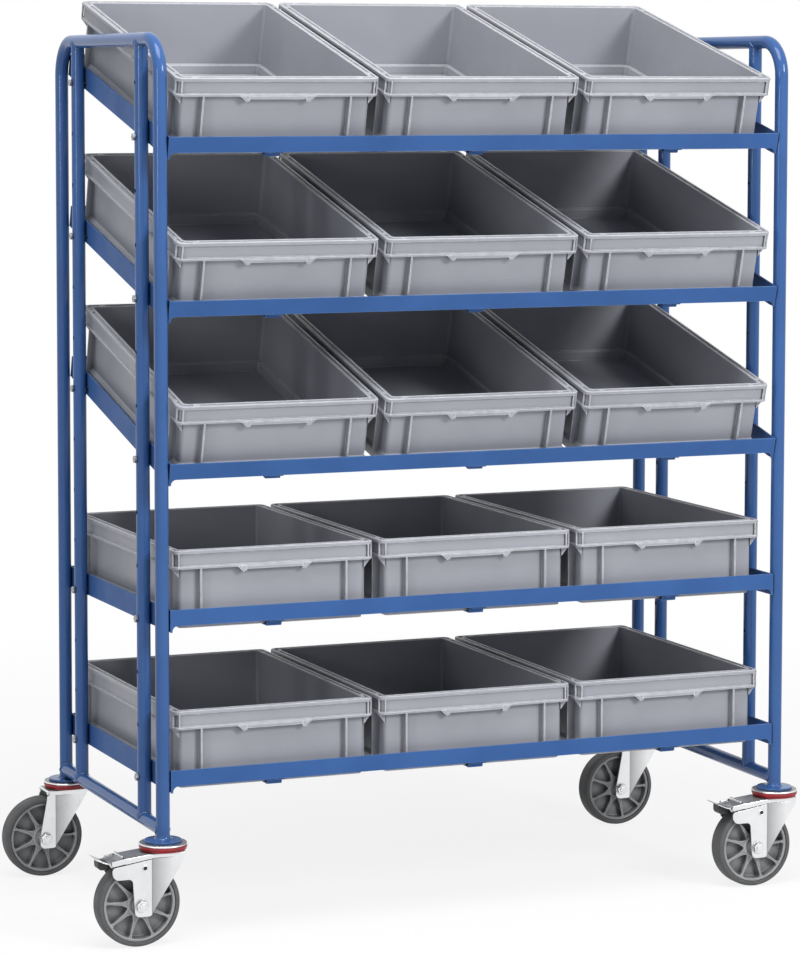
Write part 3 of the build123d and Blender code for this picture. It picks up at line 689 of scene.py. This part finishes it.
rimSet = {"section": ((6.1, 25.6, 0), (13.2, 25.6, 1), (13.6, 16.8, 0.8), (21.4, 16.8, 1.2),
                      (22.8, 2.8, 2.5), (62.8, 2.8, 3.5), (64.9, 17.8, 1), (69.4, 17.8, 0.8)), "steps": 96,
          "spokes": 9, "turn": {"front_left": 14, "front_right": 4, "rear_left": 1, "rear_right": 0},
          "spoke": ((20.0, 9.0, 0), (30.5, 3.3, 24), (59.5, 1.8, 9), (65.5, 4.4, 0)),
          "spokeFoot": 2.2, "spokeTop": 15.8, "spokeSoft": 0.7}


def makeRim(turn):
    s = rimSet
    bm = bmesh.new()
    spinRing(bm, bothSides(s["section"]), (0, 0, 0), (0, 1, 0), s["steps"])
    outline = bothSides(s["spoke"])
    for k in range(s["spokes"]):
        part = bmesh.new()
        for side in (-1, 1):
            foot, top = side * s["spokeFoot"], side * s["spokeTop"]
            slab(part, [(p.x, foot, p.y) for p in outline], (0, top - foot, 0), s["spokeSoft"])
        angle = math.radians(turn + 360 * k / s["spokes"])
        bmesh.ops.rotate(part, cent=(0, 0, 0), matrix=Matrix.Rotation(-angle, 3, "Y"), verts=part.verts)
        join(bm, part)
    return bm


tyreSet = {"section": ((69.8, 17.4, 0), (70.6, 19.6, 1.0), (78.8, 19.4, 5), (79.5, 11.4, 0),
                       (79.3, 10.8, 0), (80.0, 10.2, 0.4)), "steps": 96}


def makeTyre():
    bm = bmesh.new()
    spinRing(bm, bothSides(tyreSet["section"]), (0, 0, 0), (0, 1, 0), tyreSet["steps"])
    return bm


pedalSet = {"line": ((-83.6, 168.8), (-92.0, 167.4), (-94.0, 167.0), (-107.0, 164.4), (-109.0, 164.0),
                     (-113.0, 163.2), (-116.0, 163.4), (-119.0, 164.4), (-137.0, 172.6)),
            "columns": (-23.8, -14.0, -12.0, 12.0, 14.0, 23.8), "sheet": 2.0, "soft": 0.5,
            "tread": (-107.5, -93.5), "treadHalf": 13.0, "press": 1.3,
            "rib": ((-89.0, -22.5, 166.0), (-85.0, 22.5, 175.0)), "ribSoft": 1.4,
            "ear": ((-84.0, 168.4, 2), (-37.5, 158.0, 6), (-37.5, 142.5, 6), (-53.0, 142.5, 6),
                    (-108.0, 154.0, 5), (-114.0, 162.4, 1)), "earSheet": 2.2, "earSoft": 0.4,
            "block": ((-110.0, 163.0, 0), (-110.0, 148.8, 3), (-130.5, 148.8, 8), (-130.5, 168.0, 1)),
            "blockHalf": 12.5, "blockSoft": 1.2}


def makePedal():
    s = pedalSet
    bm = bmesh.new()
    frames = []
    for i, (x, z) in enumerate(s["line"]):
        back, ahead = s["line"][max(i - 1, 0)], s["line"][min(i + 1, len(s["line"]) - 1)]
        lean = math.atan2(back[1] - ahead[1], back[0] - ahead[0])
        frames.append(Matrix.Translation((x, 0, z)) @ Matrix.Rotation(-lean, 4, "Y"))
    section = [(y, 0) for y in s["columns"]] + [(y, -s["sheet"]) for y in reversed(s["columns"])]
    sweepSolid(bm, section, frames)
    for v in bm.verts:  # pressed tread
        if s["tread"][0] < v.co.x < s["tread"][1] and abs(v.co.y) < s["treadHalf"]:
            v.co.z -= s["press"]
    softenRims(bm, s["soft"])
    block(bm, *s["rib"], s["ribSoft"])
    for side in (-1, 1):
        out = side * s["columns"][-1]
        outline = [(p.x, out, p.y) for p in roundOutline(s["ear"], steps=3)]
        slab(bm, outline, (0, -side * s["earSheet"], 0), s["earSoft"])
    return bm


def makePedalBlock():
    s = pedalSet
    bm = bmesh.new()
    outline = [(p.x, -s["blockHalf"], p.y) for p in roundOutline(s["block"], steps=4)]
    slab(bm, outline, (0, 2 * s["blockHalf"], 0), s["blockSoft"])
    return bm


swivels = {}
for row in rows:
    for end in ends:
        low, high = millimetres(f"{row}_{end}_axle")
        swivelX = (low.x + high.x) / 2 + castorSet["trail"]
        swivels[f"{row}_{end}"] = Vector((swivelX, (low.y + high.y) / 2, 0))

footSet = {"disc": ((0.2, 190.0, 0), (35.0, 190.0, 0.8), (35.0, 195.0, 1.1), (14.0, 195.2, 6.0),
                    (13.2, 203.4, 0), (12.4, 203.4, 0), (0.2, 195.2, 0)),
           "seal": ((31.2, 176.3, 0), (42.4, 176.3, 2.2), (43.9, 179.6, 0.4), (43.0, 180.2, 0),
                    (45.2, 181.4, 2.0), (45.0, 186.3, 1.8), (31.2, 186.3, 0)),
           "head": ((0.2, 165.0, 0), (13.0, 165.0, 2.6), (13.0, 172.0, 0), (7.9, 172.0, 0), (7.9, 186.6, 0),
                    (45.2, 186.6, 1.2), (45.2, 190.0, 2.0), (0.2, 190.0, 0)), "steps": 64}
feet = (("foot_plates", "disc", blueCoat, "blue_coat", "foot_discs"),
        ("dust_seals", "seal", redSeal, "red_seal", "seal_rings"),
        ("head_plates", "head", zincPlate, "zinc", "castor_heads"))
for name, part, material, slot, node in feet:
    bm = bmesh.new()
    for spot in swivels.values():
        spinRing(bm, roundOutline(footSet[part], steps=4), spot, (0, 0, 1), footSet["steps"])
    closePiece(name, bm, [material], "frame", node)

for castor, spot in swivels.items():
    kind = "braked" if castor.startswith("front") else "plain"
    hub = spot + Vector((-castorSet["trail"], 0, castorSet["axle"]))
    fork, wheel, brake = f"{castor}_castor", f"{castor}_wheel", f"{castor}_brake"  # the castor's bodies
    closePiece(f"{castor}_fork_plates", movedTo(spot, makeFork(kind)), [forkZinc, blackPlastic], fork,
               f"{castor}_fork")
    closePiece(f"{castor}_axle_bolt", movedTo(spot, makeAxle()), [zincPlate, zincShaded], fork,
               f"{castor}_axle")
    closePiece(f"{castor}_wheel_rim", movedTo(hub, makeRim(rimSet["turn"][castor])), [rimPlastic], wheel,
               f"{castor}_rim")
    closePiece(f"{castor}_wheel_tyre", movedTo(hub, makeTyre()), [tyreRubber], wheel,
               f"{castor}_tyre")
    if kind == "braked":
        closePiece(f"{castor}_pedal", movedTo(spot, makePedal()), [zincPlate], brake,
                   f"{castor}_brake_pedal")
        closePiece(f"{castor}_pedal_block", movedTo(spot, makePedalBlock()), [blackPlastic], brake,
                   f"{castor}_brake_block")
print("castors made")

# Floor, light and camera
stage = {"floorSize": 30.0, "floorColour": (0.80, 0.80, 0.80), "floorRough": 0.9, "floorGloss": 0.1,
         "fadeFrom": 1.1, "fadeTo": 3.2, "white": 0.84, "fill": 0.38, "aim": (0, 0, 0.9)}


def seenDirectly(tree):
    path = addNode(tree, "LightPath")
    total = path.outputs["Is Camera Ray"]
    for name in ("Is Glossy Ray", "Is Transmission Ray"):
        total = combine(tree, "MAXIMUM", total, path.outputs[name])
    return total


def paleFloor():
    # grey to bounced light, nearly white where it is seen and all white further out: a faint shadow shows
    material = bpy.data.materials.new("paleFloor")
    material.use_nodes = True
    tree = material.node_tree
    shader = tree.nodes["Principled BSDF"]
    shader.inputs["Base Color"].default_value = (*stage["floorColour"], 1)
    shader.inputs["Roughness"].default_value = stage["floorRough"]
    shader.inputs["Specular IOR Level"].default_value = stage["floorGloss"]
    white = addNode(tree, "Emission", Color=(1, 1, 1, 1), Strength=1.0)
    length = addNode(tree, "VectorMath", operation="LENGTH")
    tree.links.new(addNode(tree, "TexCoord").outputs["Object"], length.inputs[0])
    away = remap(tree, length.outputs["Value"], (stage["fadeFrom"], stage["fadeTo"]), (stage["white"], 1))
    mix = addNode(tree, "MixShader")
    tree.links.new(combine(tree, "MULTIPLY", away, seenDirectly(tree)), mix.inputs[0])
    tree.links.new(shader.outputs[0], mix.inputs[1])
    tree.links.new(white.outputs[0], mix.inputs[2])
    tree.links.new(mix.outputs[0], tree.nodes["Material Output"].inputs["Surface"])
    return material


def makeFloor():
    bm = bmesh.new()
    bmesh.ops.create_grid(bm, x_segments=1, y_segments=1, size=stage["floorSize"] / 2)
    mesh = bpy.data.meshes.new("floor")
    bm.to_mesh(mesh)
    bm.free()
    mesh.materials.append(paleFloor())
    floor = bpy.data.objects.new("floor", mesh)
    scene.collection.objects.link(floor)


def makeWorld():
    world = bpy.data.worlds.new("studio")
    world.use_nodes = True
    tree = world.node_tree
    sky = tree.nodes["Background"]
    sky.inputs["Color"].default_value = (1, 1, 1, 1)
    strength = remap(tree, seenDirectly(tree), (0, 1), (stage["fill"], 1))
    tree.links.new(strength, sky.inputs["Strength"])
    scene.world = world


makeFloor()
makeWorld()

lamps = {"leftSoftbox": {"place": (-4.3, -2.4, 2.0), "size": (0.6, 1.6), "power": 38},
         "rightSoftbox": {"place": (2.4, -4.7, 3.3), "size": (1.3, 1.5), "power": 182},
         "topSoftbox": {"place": (-0.8, -1.4, 4.5), "size": (2.6, 2.2), "power": 148}}
for name, lamp in lamps.items():
    light = bpy.data.lights.new(name, "AREA")
    light.shape = "RECTANGLE"
    light.size, light.size_y = lamp["size"]
    light.energy = lamp["power"]
    holder = bpy.data.objects.new(name, light)
    holder.location = lamp["place"]
    aim = Vector(stage["aim"]) - Vector(lamp["place"])
    holder.rotation_euler = aim.to_track_quat("-Z", "Y").to_euler()
    scene.collection.objects.link(holder)

# focal length and the optical axis are in the photograph's pixels
view = {"place": (-2.58375, -6.1550, 1.5917), "yaw": 21.815, "pitch": 4.636, "focal": 3381.0,
        "axisAt": (340.0, 357.0), "image": (800, 954), "sensor": 36}
imageWidth, imageHeight = view["image"]
axisX, axisY = view["axisAt"]
lens = bpy.data.cameras.new("camera")
lens.sensor_width = view["sensor"]
lens.lens = view["focal"] / imageHeight * lens.sensor_width  # the sensor spans the longer side
lens.shift_x = (imageWidth / 2 - axisX) / imageHeight
lens.shift_y = (axisY - imageHeight / 2) / imageHeight
camera = bpy.data.objects.new("camera", lens)
camera.location = view["place"]
camera.rotation_euler = (math.radians(90 - view["pitch"]), 0, math.radians(-view["yaw"]))
scene.collection.objects.link(camera)
scene.camera = camera
scene.view_settings.view_transform = "Standard"
print("stage made")

bpy.context.view_layer.update()
